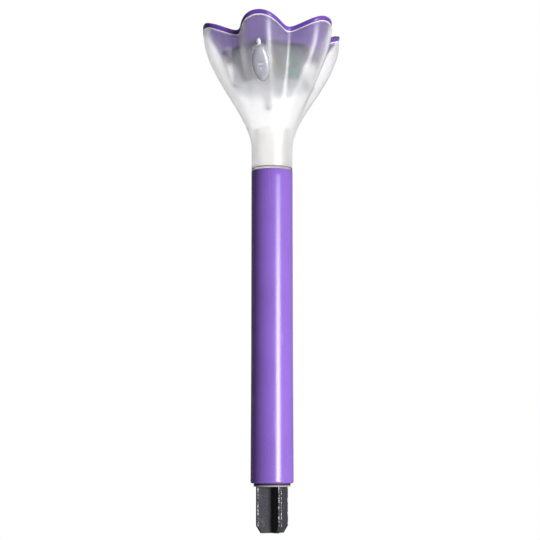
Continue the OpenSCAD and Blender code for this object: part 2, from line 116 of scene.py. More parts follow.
class TULIP_PG_stake(bpy.types.PropertyGroup):
    """Shape of the ground stake and the tube that it is stowed in"""
    rib: length("Rib", "Thickness of the ribs", 1.8 * MM)
    plug_gap: length("Plug gap", "Gap between the plug and the bore of the tube", 0.25 * MM)
    blade_gap: length("Blade gap", "Gap between the blade and the bore of the tube", 0.5 * MM)
    collar: length("Collar", "Thickness of the collar", 1.5 * MM)
    collar_lap: length("Collar lap", "How far the collar stands past the bore", 0.3 * MM)
    chamfer_width: length("Chamfer width", "Width of the chamfer on the plug's corners", 2.3 * MM)
    chamfer_height: length("Chamfer height", "Height of the chamfer on the plug's corners", 3.4 * MM)
    point: length("Point", "Length of the blade's point", 46 * MM)
    turn: FloatProperty(
        name="Turn", description="Turn of the ribs about the tube", subtype="ANGLE",
        default=math.radians(39))
    tube_wall: length("Tube wall", "Wall of the tube", 1.6 * MM)
    bell: length("Bell", "How far the foot of the tube is belled out", 0.2 * MM)
    bell_length: length("Bell length", "Length of the belled stretch", 60 * MM)
    foot_round: length("Foot rounding", "Rounding of the foot's outer edge", 1 * MM)


class TULIP_PG_colours(bpy.types.PropertyGroup):
    """Colours of the mouldings"""
    tube: colour("Tube", "Colour of the handle tube", (0.168, 0.085, 0.375))
    cap: colour("Cap", "Colour of the petal cap", (0.10, 0.042, 0.265))
    petal: colour("Petal", "Tint of the frosted petals", (0.996, 0.992, 0.994))
    stake: colour("Stake", "Colour of the ground stake", (0.022, 0.021, 0.027))
    button: colour("Button", "Tint of the push button", (0.52, 0.52, 0.58))
    cell: colour("Cell", "Colour of the solar cells", (0.02, 0.038, 0.14))
    board: colour("Board", "Colour of the circuit boards", (0.015, 0.27, 0.16))


class TULIP_PG_stage(bpy.types.PropertyGroup):
    """Camera, floor and lights"""
    turn: FloatProperty(
        name="Camera turn", description="Turn of the camera round the light from the front",
        subtype="ANGLE", default=math.radians(11.4))
    pitch: FloatProperty(
        name="Camera pitch", description="How far the camera looks up", subtype="ANGLE",
        default=math.radians(7.9))
    distance: length("Camera distance", "Distance from the camera to the tube", 0.671)
    height: length("Camera height", "Height of the camera above the plug", 31.6 * MM)
    aside: length("Camera aside", "Sideways offset of the camera", 0.98 * MM)
    lens: FloatProperty(name="Lens", description="Focal length", subtype="DISTANCE_CAMERA", default=93.7)
    drop: length("Floor drop", "Depth of the floor below the plug", 0.16)


# ---------------------------------------------------------------- shader sheets

class Value:
    """A shader value that takes part in Python sums; each sum adds its Math node."""

    def __init__(self, sheet, socket):
        self.sheet = sheet
        self.socket = socket

    def maths(self, operation, *values):
        return Value(self.sheet, self.sheet.node(
            "ShaderNodeMath", {"operation": operation}, dict(enumerate(values))).outputs[0])

    def __add__(self, other):
        return self.maths("ADD", self, other)

    def __sub__(self, other):
        return self.maths("SUBTRACT", self, other)

    def __rsub__(self, other):
        return self.maths("SUBTRACT", other, self)

    def __mul__(self, other):
        return self.maths("MULTIPLY", self, other)

    def __pow__(self, other):
        return self.maths("POWER", self, other)

    __radd__ = __add__
    __rmul__ = __mul__

    def between(self, low, high):
        """0 below low, 1 above high, and smooth from one to the other."""
        found = self.sheet.node("ShaderNodeMapRange", {"interpolation_type": "SMOOTHSTEP"}, {
            "Value": self, "From Min": low, "From Max": high})
        return Value(self.sheet, found.outputs[0])


class Sheet:
    """One node-based finish, or the nodes of a world."""

    def __init__(self, name, world=None):
        self.material = world or bpy.data.materials.new(name)
        self.material.use_nodes = True
        self.tree = self.material.node_tree
        self.tree.nodes.clear()
        coordinates = self.node("ShaderNodeTexCoord").outputs
        self.place = coordinates["Generated" if world else "Object"]

    def node(self, kind, settings=None, inputs=None):
        """Adds a node: its settings first, then the values or links of its sockets."""
        made = self.tree.nodes.new(kind)
        for key, setting in (settings or {}).items():
            if key == "stops":
                self.set_stops(made.color_ramp, setting)
            else:
                setattr(made, key, setting)
        for key, given in (inputs or {}).items():
            if isinstance(given, Value):
                given = given.socket
            if isinstance(given, bpy.types.NodeSocket):
                self.tree.links.new(given, made.inputs[key])
            else:
                made.inputs[key].default_value = given
        return made

    @staticmethod
    def set_stops(ramp, stops):
        while len(ramp.elements) < len(stops):
            ramp.elements.new(0.5)
        for element, (position, shade) in zip(ramp.elements, stops):
            element.position = position
            element.color = (*shade, 1)

    def scaled(self, scale):
        """The place on the piece, scaled by (x, y, z)."""
        return self.node("ShaderNodeVectorMath", {"operation": "MULTIPLY"}, {
            0: self.place, 1: scale}).outputs[0]

    def noise(self, scale, detail=4, roughness=0.55, stretch=(1, 1, 1)):
        found = self.node("ShaderNodeTexNoise", None, {
            "Vector": self.scaled(stretch), "Scale": scale, "Detail": detail, "Roughness": roughness})
        return Value(self, found.outputs["Fac"])

    def cells(self, scale, stretch=(1, 1, 1)):
        """Distance to the nearest of a scatter of points."""
        found = self.node("ShaderNodeTexVoronoi", None, {"Vector": self.scaled(stretch), "Scale": scale})
        return Value(self, found.outputs["Distance"])

    def axis(self, letter):
        """One coordinate of the place on the piece, in metres."""
        return Value(self, self.node("ShaderNodeSeparateXYZ", None, {0: self.place}).outputs[letter])

    def along(self, angle):
        """How far the place lies in a level direction, at an angle from +X."""
        found = self.node("ShaderNodeVectorMath", {"operation": "DOT_PRODUCT"}, {
            0: self.place, 1: (math.cos(angle), math.sin(angle), 0)})
        return Value(self, found.outputs["Value"])

    def blend(self, factor, first, second):
        """A colour from first to second."""
        mix = self.node("ShaderNodeMix", {"data_type": "RGBA"}, {
            0: factor, 6: self.rgba(first), 7: self.rgba(second)})
        return mix.outputs[2]

    @staticmethod
    def rgba(shade):
        return shade if isinstance(shade, bpy.types.NodeSocket) else (*shade, 1)

    def bump(self, height, strength, distance, under=None):
        inputs = {"Height": height, "Strength": strength, "Distance": distance}
        if under:
            inputs["Normal"] = under
        return self.node("ShaderNodeBump", None, inputs).outputs[0]

    def finish(self, **inputs):
        """Ends the sheet in a Principled shader; base_color sets Base Color, and so on."""
        sockets = {}
        for key, given in inputs.items():
            socket = key.replace("_", " ").title().replace("Ior", "IOR")
            if socket in ("Base Color", "Emission Color") and isinstance(given, tuple):
                given = self.rgba(given)
            sockets[socket] = given
        shader = self.node("ShaderNodeBsdfPrincipled", None, sockets)
        self.node("ShaderNodeOutputMaterial", None, {"Surface": shader.outputs[0]})
        return self.material


def shade(rgb, factor):
    """A lighter or darker version of a colour."""
    return tuple(min(1.0, channel * factor) for channel in rgb)


# ---------------------------------------------------------------- finishes

def extruded_plastic(rgb):
    """Glossy extruded tube: draw lines along it, faint handling scratches and dust."""
    s = Sheet("Extruded purple")
    draw_lines = s.noise(900, 3, stretch=(1, 1, 0.012))
    cloud = s.noise(38, 3)
    scratches = s.noise(520, 2, stretch=(1, 0.35, 0.08)).between(0.66, 0.72)
    dust = s.cells(420).between(0.10, 0.02)
    base = s.blend(cloud.between(0.3, 0.75), shade(rgb, 0.94), shade(rgb, 1.07))
    base = s.blend(dust * 0.10, base, (0.75, 0.72, 0.85))
    rough = 0.22 + 0.07 * cloud + 0.10 * scratches + 0.15 * dust
    grain = s.bump(draw_lines, 0.05, 0.1 * MM)
    return s.finish(base_color=base, roughness=rough, normal=grain, ior=1.49)


def moulded_purple(rgb):
    """Injection-moulded cap: even colour, slight flow marks, satin gloss."""
    s = Sheet("Moulded purple")
    flow = s.noise(60, 3, stretch=(1, 1, 0.4))
    grain = s.noise(2600, 2)
    base = s.blend(flow.between(0.3, 0.7), shade(rgb, 0.92), shade(rgb, 1.08))
    rough = 0.22 + 0.08 * flow
    return s.finish(base_color=base, roughness=rough, normal=s.bump(grain, 0.04, 0.05 * MM), ior=1.49)


def frosted_petal(rgb):
    """Translucent moulding: frosted inside, with a softly polished outer skin."""
    s = Sheet("Frosted petal")
    cloud = s.noise(45, 3)
    ripple = s.noise(140, 2, stretch=(1, 1, 0.25))
    specks = s.cells(260).between(0.07, 0.03)
    base = s.blend(cloud.between(0.35, 0.7), shade(rgb, 0.99), rgb)
    base = s.blend(specks * 0.12, base, (0.5, 0.5, 0.55))
    rough = 0.29 + 0.06 * cloud
    wave = s.bump(ripple, 0.04, 0.2 * MM)
    return s.finish(
        base_color=base, roughness=rough, normal=wave, ior=1.3,
        transmission_weight=0.975, coat_weight=0.6, coat_roughness=0.36, coat_ior=1.45)


def milky_rim(rgb):
    """The thick edge of the petals, where the light gathers and the moulding looks white."""
    s = Sheet("Milky rim")
    cloud = s.noise(160, 3)
    grain = s.noise(1800, 2)
    base = s.blend(cloud.between(0.3, 0.7), shade(rgb, 0.93), rgb)
    return s.finish(
        base_color=base, roughness=0.22 + 0.1 * cloud, normal=s.bump(grain, 0.05, 0.04 * MM),
        transmission_weight=0.35, coat_weight=0.6, coat_roughness=0.08)


def frosted_button(name, rgb):
    """Greyer frosted plastic of the push button and the indicator."""
    s = Sheet(name)
    cloud = s.noise(240, 3)
    grain = s.noise(3200, 2)
    base = s.blend(cloud.between(0.3, 0.7), shade(rgb, 0.92), shade(rgb, 1.08))
    rough = 0.2 + 0.1 * cloud
    return s.finish(
        base_color=base, roughness=rough, normal=s.bump(grain, 0.05, 0.05 * MM), ior=1.45,
        transmission_weight=0.5, coat_weight=0.5, coat_roughness=0.08)


def moulded_black(rgb, turn, reach, half, collar_low):
    """Matte black moulding of the stake: speckled skin, streaks and scuffs.

    The ribs' corners have painted highlights in pale patches, and the collar a painted highlight along its
    lower edge.
    """
    s = Sheet("Moulded black")

    def off_axis(angle):
        along = s.along(angle)
        return along.maths("ABSOLUTE", along)

    def from_corner(along, across):
        return (along - reach) ** 2 + (across - half) ** 2

    first, second = off_axis(turn), off_axis(turn + math.pi / 2)
    one, other = from_corner(first, second), from_corner(second, first)
    corner_gap = one.maths("MINIMUM", one, other)
    patches = s.noise(1300, 4, 0.75).between(0.50, 0.58)
    # Painted highlight: pale patches along the ribs' outer corners.
    corner_highlight = corner_gap.between((0.5 * MM) ** 2, (0.25 * MM) ** 2) * patches
    # Painted highlight: the lip mask is a band along the collar's lower edge.
    height = s.axis("Z")
    lip = height.between(collar_low - 0.1 * MM, collar_low) * height.between(
        collar_low + 0.75 * MM, collar_low + 0.45 * MM)
    speckle = s.noise(1500, 4, 0.7)
    streaks = s.noise(220, 3, stretch=(1, 1, 0.1))
    scuffs = s.noise(420, 5, 0.75, stretch=(1, 1, 0.5)).between(0.58, 0.70)
    base = s.blend(speckle.between(0.35, 0.72), shade(rgb, 0.6), shade(rgb, 1.7))
    base = s.blend(scuffs * 0.25, base, (0.20, 0.19, 0.23))
    # Painted highlight colour on the ribs' corners.
    base = s.blend(corner_highlight * 0.9, base, (0.62, 0.60, 0.63))
    # Painted highlight colour along the collar's lower edge.
    base = s.blend(lip * 0.8, base, (0.33, 0.31, 0.30))
    rough = 0.46 + 0.16 * speckle + 0.1 * streaks
    skin = s.bump(speckle, 0.22, 0.12 * MM)
    return s.finish(
        base_color=base, roughness=rough, normal=s.bump(streaks, 0.12, 0.2 * MM, skin),
        specular_ior_level=0.14)


def ivory_plastic():
    """Off-white moulding of the neck bush, with a painted shadow line in the seam under the head."""
    s = Sheet("Ivory plastic")
    cloud = s.noise(90, 3)
    grain = s.noise(1800, 2)
    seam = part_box("petal_shell")[0].z
    height = s.axis("Z")
    # Painted shadow: a dark band in the seam between the bush and the shell's neck.
    from_below = height.between(seam - 0.45 * MM, seam - 0.3 * MM)
    from_above = height.between(seam + 0.3 * MM, seam + 0.1 * MM)
    seam_shadow = from_below * from_above
    base = s.blend(cloud, (0.95, 0.94, 0.925), (0.985, 0.98, 0.97))
    # The seam band gets its painted shadow colour here.
    base = s.blend(seam_shadow * (0.75 + 0.25 * cloud), base, (0.16, 0.15, 0.15))
    return s.finish(
        base_color=base, roughness=0.3 + 0.1 * cloud, normal=s.bump(grain, 0.06, 0.05 * MM),
        subsurface_weight=1.0, subsurface_scale=6 * MM, subsurface_radius=(1, 1, 1),
        transmission_weight=0.93, ior=1.15)


def solar_silicon(rgb):
    """Dark blue silicon with crystal grains and the fine silver fingers of a cell."""
    s = Sheet("Solar silicon")
    grains = s.cells(520, stretch=(1, 0.7, 1))
    cloud = s.noise(160, 3)
    wave = s.node("ShaderNodeTexWave", {"bands_direction": "X"}, {"Vector": s.place, "Scale": 500})
    fingers = Value(s, wave.outputs["Fac"]).between(0.93, 0.97)
    base = s.blend(grains.between(0.05, 0.8), shade(rgb, 0.7), shade(rgb, 2.0))
    base = s.blend(cloud.between(0.4, 0.8), base, shade(rgb, 1.4))
    base = s.blend(fingers * 0.6, base, (0.45, 0.48, 0.55))
    return s.finish(base_color=base, roughness=0.2 + 0.1 * cloud, metallic=0.2 + 0.5 * fingers)


def clear_resin():
    """Poured resin over the cells, with faint ripples and dust."""
    s = Sheet("Clear resin")
    ripple = s.noise(120, 2)
    dust = s.cells(520).between(0.08, 0.03)
    base = s.blend(dust * 0.3, (0.96, 0.97, 1.0), (0.7, 0.7, 0.72))
    return s.finish(
        base_color=base, roughness=0.03 + 0.25 * dust, normal=s.bump(ripple, 0.08, 0.2 * MM),
        transmission_weight=1.0, ior=1.5)


def frosted_housing():
    """Thin frosted moulding of the battery housing."""
    s = Sheet("Frosted housing")
    cloud = s.noise(80, 3)
    grain = s.noise(1500, 2)
    base = s.blend(cloud, (0.80, 0.81, 0.85), (0.88, 0.89, 0.92))
    return s.finish(
        base_color=base, roughness=0.12 + 0.08 * cloud, normal=s.bump(grain, 0.05, 0.05 * MM),
        transmission_weight=0.88, ior=1.25)


def solder_mask(rgb):
    """Green board with copper tracks under its mask and tinned pads."""
    s = Sheet("Solder mask")
    tracks = s.node("ShaderNodeTexBrick", {"offset": 0.37}, {
        "Vector": s.scaled((1, 1, 1.7)), "Scale": 420, "Mortar Size": 0.03}).outputs["Fac"]
    pads = s.cells(560).between(0.16, 0.12)
    base = s.blend(Value(s, tracks) * 0.5, rgb, shade(rgb, 1.8))
    base = s.blend(pads, base, (0.66, 0.67, 0.66))
    return s.finish(base_color=base, roughness=0.38 - 0.1 * pads, metallic=0.9 * pads)


def plain_plastic(name, rgb, rough):
    """Small inner moulding, wire or sleeve: mottled colour and fine grain."""
    s = Sheet(name)
    cloud = s.noise(300, 3)
    grain = s.noise(2200, 2)
    base = s.blend(cloud.between(0.3, 0.7), shade(rgb, 0.85), shade(rgb, 1.15))
    return s.finish(
        base_color=base, roughness=rough + 0.1 * cloud, normal=s.bump(grain, 0.08, 0.04 * MM))


def plated_steel(name, rgb):
    """Nickel-plated metal with rolling lines and a little tarnish."""
    s = Sheet(name)
    tarnish = s.noise(260, 4)
    lines = s.noise(1500, 2, stretch=(1, 0.08, 1))
    base = s.blend(tarnish.between(0.45, 0.75), rgb, shade(rgb, 0.72))
    return s.finish(
        base_color=base, metallic=0.95, roughness=0.22 + 0.22 * tarnish,
        normal=s.bump(lines, 0.1, 0.05 * MM))


def clear_lens():
    """Clear epoxy of the LED."""
    s = Sheet("Clear lens")
    cloud = s.noise(400, 2)
    base = s.blend(cloud, (0.93, 0.94, 0.97), (0.98, 0.98, 1.0))
    return s.finish(base_color=base, roughness=0.04 + 0.08 * cloud, transmission_weight=0.85, ior=1.48)


def studio_paper():
    """Pale seamless floor."""
    s = Sheet("Studio paper")
    cloud = s.noise(3, 2)
    fibre = s.noise(300, 3)
    base = s.blend(cloud, (0.26, 0.26, 0.26), (0.28, 0.28, 0.28))
    return s.finish(
        base_color=base, roughness=0.9, normal=s.bump(fibre, 0.02, 0.2 * MM),
        emission_color=(1, 1, 1), emission_strength=0.68)


# ---------------------------------------------------------------- mesh helpers

def polar(radius, angle, height):
    """A point on a circle; the angle runs from -Y towards +X."""
    return Vector((radius * math.sin(angle), -radius * math.cos(angle), height))


def mesh_piece(name, points, faces, material, sharp=35):
    """A smooth-shaded mesh object with sharp edges past an angle, in degrees."""
    mesh = bpy.data.meshes.new(name)
    mesh.from_pydata([tuple(p) for p in points], [], faces)
    mesh.validate()
    piece = bpy.data.objects.new(name, mesh)
    bpy.context.scene.collection.objects.link(piece)
    smooth(piece, sharp)
    if material:
        mesh.materials.append(material)
    return piece


def smooth(piece, sharp):
    piece.data.shade_smooth()
    piece.data.set_sharp_from_angle(angle=math.radians(sharp))


def grid_faces(rings, around, closed_profile):
    """Quads between rings of points, wrapped round, and closed along the profile if asked."""
    faces = []
    for i in range(rings if closed_profile else rings - 1):
        nxt = (i + 1) % rings
        for k in range(around):
            n = (k + 1) % around
            faces.append((i * around + k, i * around + n, nxt * around + n, nxt * around + k))
    return faces


def swept(name, outline, around, material, closed_profile=True, sharp=35):
    """Sweeps outline(angle), a list of (radius, height), round the axis."""
    angles = [TAU * k / around for k in range(around)]
    outlines = [outline(angle) for angle in angles]
    rings = len(outlines[0])
    points = [polar(outlines[k][i][0], angles[k], outlines[k][i][1])
              for i in range(rings) for k in range(around)]
    faces = grid_faces(rings, around, closed_profile)
    if not closed_profile:
        faces.append(tuple(reversed(range(around))))
        faces.append(tuple(range((rings - 1) * around, rings * around)))
    return mesh_piece(name, points, faces, material, sharp)


def stacked(name, outline, levels, material, place=Matrix.Identity(4), sharp=35):
    """Stacks outlines upwards: outline(level) is a list of (x, y), and each level ends with its height."""
    rows = [[Vector((x, y, level[-1])) for x, y in outline(level)] for level in levels]
    around = len(rows[0])
    points = [place @ p for row in rows for p in row]
    faces = grid_faces(len(rows), around, False)
    faces.append(tuple(reversed(range(around))))
    faces.append(tuple(range((len(rows) - 1) * around, len(rows) * around)))
    return mesh_piece(name, points, faces, material, sharp)


def oval(width, long, steps=96):
    """Points round an oval."""
    return [(width / 2 * math.cos(TAU * k / steps), long / 2 * math.sin(TAU * k / steps))
            for k in range(steps)]


def cut(piece, cutter, sharp=35):
    """Cuts one piece with another, which is used up."""
    tool = piece.modifiers.new("Cut", "BOOLEAN")
    tool.operation, tool.solver, tool.object = "DIFFERENCE", "EXACT", cutter
    tool.material_mode = "TRANSFER"
    bpy.context.view_layer.update()
    depsgraph = bpy.context.evaluated_depsgraph_get()
    result = bpy.data.meshes.new_from_object(piece.evaluated_get(depsgraph))
    piece.modifiers.clear()
    piece.data = result
    bpy.data.objects.remove(cutter)
    smooth(piece, sharp)


def joined(name, pieces):
    """Several mesh objects as one."""
    bpy.ops.object.select_all(action="DESELECT")
    for piece in pieces:
        piece.select_set(True)
    bpy.context.view_layer.objects.active = pieces[0]
    bpy.ops.object.join()
    pieces[0].name = name
    return pieces[0]


def bevelled(piece, width, segments=3, angle=30):
    """Rounds the piece's edges."""
    tool = piece.modifiers.new("Edge rounding", "BEVEL")
    tool.width, tool.segments, tool.limit_method = width, segments, "ANGLE"
    tool.angle_limit = math.radians(angle)
    tool.harden_normals = True


def corner(radius, height, size, start, steps=5):
    """Points of a rounded corner in the profile plane, centred on (radius, height)."""
    return [(radius + size * math.cos(math.radians(start + 90 * i / steps)),
             height + size * math.sin(math.radians(start + 90 * i / steps))) for i in range(steps + 1)]


def smoothstep(t):
    t = max(0.0, min(1.0, t))
    return t * t * (3 - 2 * t)


# ---------------------------------------------------------------- the shape that pieces share

class PetalForm:
    """Radius of the petals at any angle and height. The angle is 0 at the front petal's crest."""
    GROOVE_START = 0.1
    GROOVE_END = 1.0

    def __init__(self, sizes, button):
        low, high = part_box("petal_shell")
        self.sizes = sizes
        self.neck_z = low.z
        self.flare_z = low.z + sizes.neck
        self.tip_z = high.z
        self.rim_r = -low.y
        self.neck_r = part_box("neck_bush")[1].x
        self.floor_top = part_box("panel_board")[0].z
        self.floor_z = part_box("housing_gasket")[1].z
        self.button_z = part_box("battery_housing")[0].z + button.up

    def share(self, z):
        return (z - self.flare_z) / (self.tip_z - self.flare_z)

    def crest(self, z):
        t = max(0.0, min(1.0, self.share(z)))
        swell = (t * (1 - t)) ** 2
        return self.neck_r + (self.rim_r - self.neck_r) * (smoothstep(t) + self.sizes.fullness * swell)

    def notch(self, angle):
        return (1 - math.cos(self.sizes.count * angle)) / 2

    def outside(self, angle, z):
        share = (self.share(z) - self.GROOVE_START) / (self.GROOVE_END - self.GROOVE_START)
        groove = self.sizes.depth * smoothstep(share)
        return self.crest(z) - groove * self.notch(angle) ** self.sizes.narrowing

    def slope(self, z):
        return (self.crest(z + MM / 2) - self.crest(z - MM / 2)) / MM

    def inside(self, angle, z):
        return self.outside(angle, z) - self.sizes.wall * math.hypot(1, self.slope(z))

    def rim(self, angle):
        return self.tip_z - self.sizes.scallop * self.notch(angle)

    def on_crest(self, z):
        """Placement on the front petal's crest: +Z out of the petal and +Y up along it."""
        tilt = math.atan(self.slope(z))
        return Matrix.Translation((0, -self.crest(z), z)) @ Matrix.Rotation(math.pi / 2 + tilt, 4, "X")

    def indicator_z(self, button):
        return self.button_z + button.indicator_up * math.cos(math.atan(self.slope(self.button_z)))


def form():
    scene = bpy.context.scene
    return PetalForm(scene.tulip_petals, scene.tulip_button)


def attach(piece, body, replaced=()):
    """The piece rides on a body and stands for CAD nodes, which it hides."""
    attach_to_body(piece, body)
    if replaced:
        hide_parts(*replaced)


def coat(node, material):
    """Gives a CAD node its finish."""
    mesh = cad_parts[node].data
    mesh.materials.clear()
    mesh.materials.append(material)


# ---------------------------------------------------------------- operators

class TULIP_OT_stage(bpy.types.Operator):
    """Camera, floor, sky and soft lights"""
    bl_idname = "tulip.stage"
    bl_label = "Stage"

    SKY_DARK = 0.12
    SKY_BRIGHT = 0.3
    SKY_THROUGH = 1.18
    INSIDE_SHADE = 0.2
    SKY_TURN = (-0.6, 0.6)
    FLOOR_REACH = 2.3
    SENSOR_WIDTH = 36

    def soft_box(self, name, turn, height, distance, size, power):
        """A rectangular light aimed at the middle of the object; turn 0 is the camera's side."""
        middle = (CAD_BOX[0] + CAD_BOX[1]) / 2
        data = bpy.data.lights.new(name, "AREA")
        data.shape, data.size, data.size_y = "RECTANGLE", size[0], size[1]
        data.energy = power
        light = bpy.data.objects.new(name, data)
        bpy.context.scene.collection.objects.link(light)
        angle = bpy.context.scene.tulip_stage.turn + math.radians(turn)
        light.location = polar(distance, angle, height)
        light.rotation_euler = (middle - light.location).to_track_quat("-Z", "Y").to_euler()
        light.visible_camera = light.visible_transmission = False
        return light

    def sky(self, turn):
        """White behind the object and through its clear parts; as a light, dim and from the right."""
        world = bpy.data.worlds.new("Studio sky")
        bpy.context.scene.world = world
        s = Sheet("Studio sky", world)
        across = s.along(turn)
        path = s.node("ShaderNodeLightPath").outputs
        passed, scattered = (
            Value(s, path[name]).between(0, 1) for name in ("Transmission Depth", "Diffuse Depth"))
        direct = Value(s, path["Is Camera Ray"])
        through = (1 - direct) * passed * (1 - self.INSIDE_SHADE * scattered)
        light = self.SKY_DARK + (self.SKY_BRIGHT - self.SKY_DARK) * across.between(*self.SKY_TURN)
        strength = direct + self.SKY_THROUGH * through + (1 - direct - through) * light
        sky = s.node("ShaderNodeBackground", None, {"Color": (1, 1, 1, 1), "Strength": strength})
        s.node("ShaderNodeOutputWorld", None, {"Surface": sky.outputs[0]})

    def execute(self, context):
        settings = context.scene.tulip_stage
        data = bpy.data.cameras.new("Camera")
        data.lens, data.sensor_width = settings.lens, self.SENSOR_WIDTH
        camera = bpy.data.objects.new("Camera", data)
        context.scene.collection.objects.link(camera)
        turned = Matrix.Rotation(settings.turn, 4, "Z")
        camera.location = turned @ Vector((-settings.aside, -settings.distance, settings.height))
        camera.rotation_euler = (math.pi / 2 + settings.pitch, 0, settings.turn)
        context.scene.camera = camera
        context.scene.view_settings.view_transform = "Standard"

        reach = self.FLOOR_REACH
        corners = [(x * reach, y * reach, -settings.drop) for x, y in ((-1, -1), (1, -1), (1, 1), (-1, 1))]
        floor = mesh_piece("studio_floor", corners, [(0, 1, 2, 3)], studio_paper())
        floor.visible_diffuse = floor.visible_glossy = floor.visible_shadow = False
        self.sky(settings.turn)
        self.soft_box("Key", 34, -0.06, 1.0, (0.36, 0.8), 21)
        self.soft_box("Top", 60, 1.3, 0.6, (0.8, 0.8), 4)
        for name, turn in (("Back fill", 178), ("Left fill", -150)):
            fill = self.soft_box(name, turn, 0.2, 1.0, (0.9, 0.7), 6)
            fill.visible_glossy = False
        return {"FINISHED"}


class TULIP_OT_petal_shell(bpy.types.Operator):
    """The frosted six-petal shell with its neck, rounded rim and button hole"""
    bl_idname = "tulip.petal_shell"
    bl_label = "Petal shell"

    AROUND = 288
    LEVELS = 60
    EDGE = 0.3 * MM
    NICK = 0.09 * MM
    RIM_BAND = 0.5 * MM
    NECK_ROW = 3 * MM
    CUT_REACH = 4 * MM

    def outline(self, petals, angle):
        """Neck, outside, rounded rim and inside, bottom to top and back."""
        edge, nick, rim = self.EDGE, self.NICK, petals.rim(angle)
        span = rim - petals.flare_z
        heights = [petals.flare_z + span * i / self.LEVELS for i in range(self.LEVELS)]
        heights += [rim - self.RIM_BAND, rim - edge]
        neck_bore = petals.neck_r - petals.sizes.wall
        points = [(petals.neck_r - edge, petals.neck_z), (petals.neck_r - nick, petals.neck_z + nick),
                  (petals.neck_r, petals.neck_z + edge), (petals.neck_r, petals.flare_z - self.NECK_ROW)]
        points += [(petals.outside(angle, z), z) for z in heights]
        outer, inner = petals.outside(angle, rim), petals.inside(angle, rim)
        points += [(outer - nick, rim - nick), (outer - edge, rim), (inner + edge, rim),
                   (inner + nick, rim - nick)]
        points += [(petals.inside(angle, z), z) for z in reversed(heights)]
        points += [(neck_bore, petals.flare_z - self.NECK_ROW), (neck_bore, petals.neck_z)]
        return points

    def whiten_rim(self, shell, petals, finish):
        """Gives the faces along the rim their own finish."""
        shell.data.materials.append(finish)
        for face in shell.data.polygons:
            middle = face.center
            angle = math.atan2(middle.x, -middle.y)
            if middle.z > petals.rim(angle) - self.RIM_BAND:
                face.material_index = 1

    def execute(self, context):
        petals, button = form(), context.scene.tulip_button
        finish = frosted_petal(context.scene.tulip_colours.petal[:])
        shell = swept("petal_shell_skin", lambda a: self.outline(petals, a), self.AROUND, finish)
        milky = milky_rim((0.93, 0.92, 0.93))
        self.whiten_rim(shell, petals, milky)
        holes = (
            (button.width + 2 * button.gap, button.length + 2 * button.gap, petals.button_z),
            (button.indicator_width, button.indicator_length, petals.indicator_z(button)))
        for wide, long, z in holes:
            hole = stacked("hole", lambda level: oval(wide, long), [(-self.CUT_REACH,), (self.CUT_REACH,)],
                           milky, petals.on_crest(z))
            cut(shell, hole)
        attach(shell, "head", ["petal_shell"])
        return {"FINISHED"}


class TULIP_OT_petal_cap(bpy.types.Operator):
    """The purple cap: scalloped lip on the rim, dish, skirt and screw bosses"""
    bl_idname = "tulip.petal_cap"
    bl_label = "Petal cap"

    AROUND = 288
    LEVELS = 10
    FILLET = 0.8 * MM
    EDGE = 0.35 * MM
    NICK = 0.1 * MM
    BEAD = 0.16 * MM
    MIDDLE = 0.3 * MM
    BOSS_WIDTH = 5 * MM

    def outline(self, petals, angle):
        """From the middle of the dish out over the lip and back under the floor."""
        sizes, edge, nick, fillet = petals.sizes, self.EDGE, self.NICK, self.FILLET
        rim = petals.rim(angle) + sizes.seat_gap
        top = rim + sizes.lip
        skirt_z = petals.floor_z - sizes.skirt

        def outer(z):
            lean = sizes.cap_lean * (1 - petals.notch(angle)) * smoothstep((rim - z) / (rim - skirt_z))
            return petals.inside(angle, z) - sizes.cap_gap - lean

        def inner(z):
            return outer(z) - sizes.cap_wall

        start = petals.floor_top
        foot = inner(start + fillet)
        points = [(self.MIDDLE, start), (foot * 0.6, start), (foot - fillet, start)]
        points += [(foot - fillet + fillet * math.sin(a), start + fillet * (1 - math.cos(a)))
                   for a in (math.radians(d) for d in (22, 45, 68))]
        rise = top - edge - start - fillet
        points += [(inner(z), z) for z in
                   (start + fillet + rise * i / self.LEVELS for i in range(self.LEVELS + 1))]
        points += [(inner(top - edge) + nick, top - nick), (inner(top - edge) + edge, top)]
        out, step, bead = petals.outside(angle, rim), sizes.lip_step, self.BEAD
        points += [(out - edge, top), (out - nick, top - nick), (out, top - edge),
                   (out, rim + step + bead), (out - bead * 0.3, rim + step + bead * 0.3),
                   (out - bead, rim + step), (out - step, rim + step - 0.02 * MM), (out - step, rim)]
        points += [(outer(z), z) for z in
                   (rim - (rim - skirt_z) * i / self.LEVELS for i in range(self.LEVELS + 1))]
        points += [(outer(skirt_z) - sizes.cap_wall, skirt_z), (inner(petals.floor_z), petals.floor_z),
                   (self.MIDDLE, petals.floor_z)]
        return points

    def execute(self, context):
        petals = form()
        finish = moulded_purple(context.scene.tulip_colours.cap[:])
        cap = swept("petal_cap_skin", lambda a: self.outline(petals, a), self.AROUND, finish)
        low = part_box("petal_cap")[0].z
        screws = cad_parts["housing_screws"].data.vertices
        bosses = []
        for side in (-1, 1):
            ends = [v.co for v in screws if v.co.y * side > 0]
            middle = sum(ends, Vector()) / len(ends)
            bosses.append(stacked(
                "boss", lambda level: [
                    (middle.x + x, middle.y + y) for x, y in oval(self.BOSS_WIDTH, self.BOSS_WIDTH, 32)],
                [(low,), (petals.floor_z + 0.2 * MM,)], finish))
        cap = joined("petal_cap_skin", [cap] + bosses)
        attach(cap, "cap", ["petal_cap"])
        return {"FINISHED"}


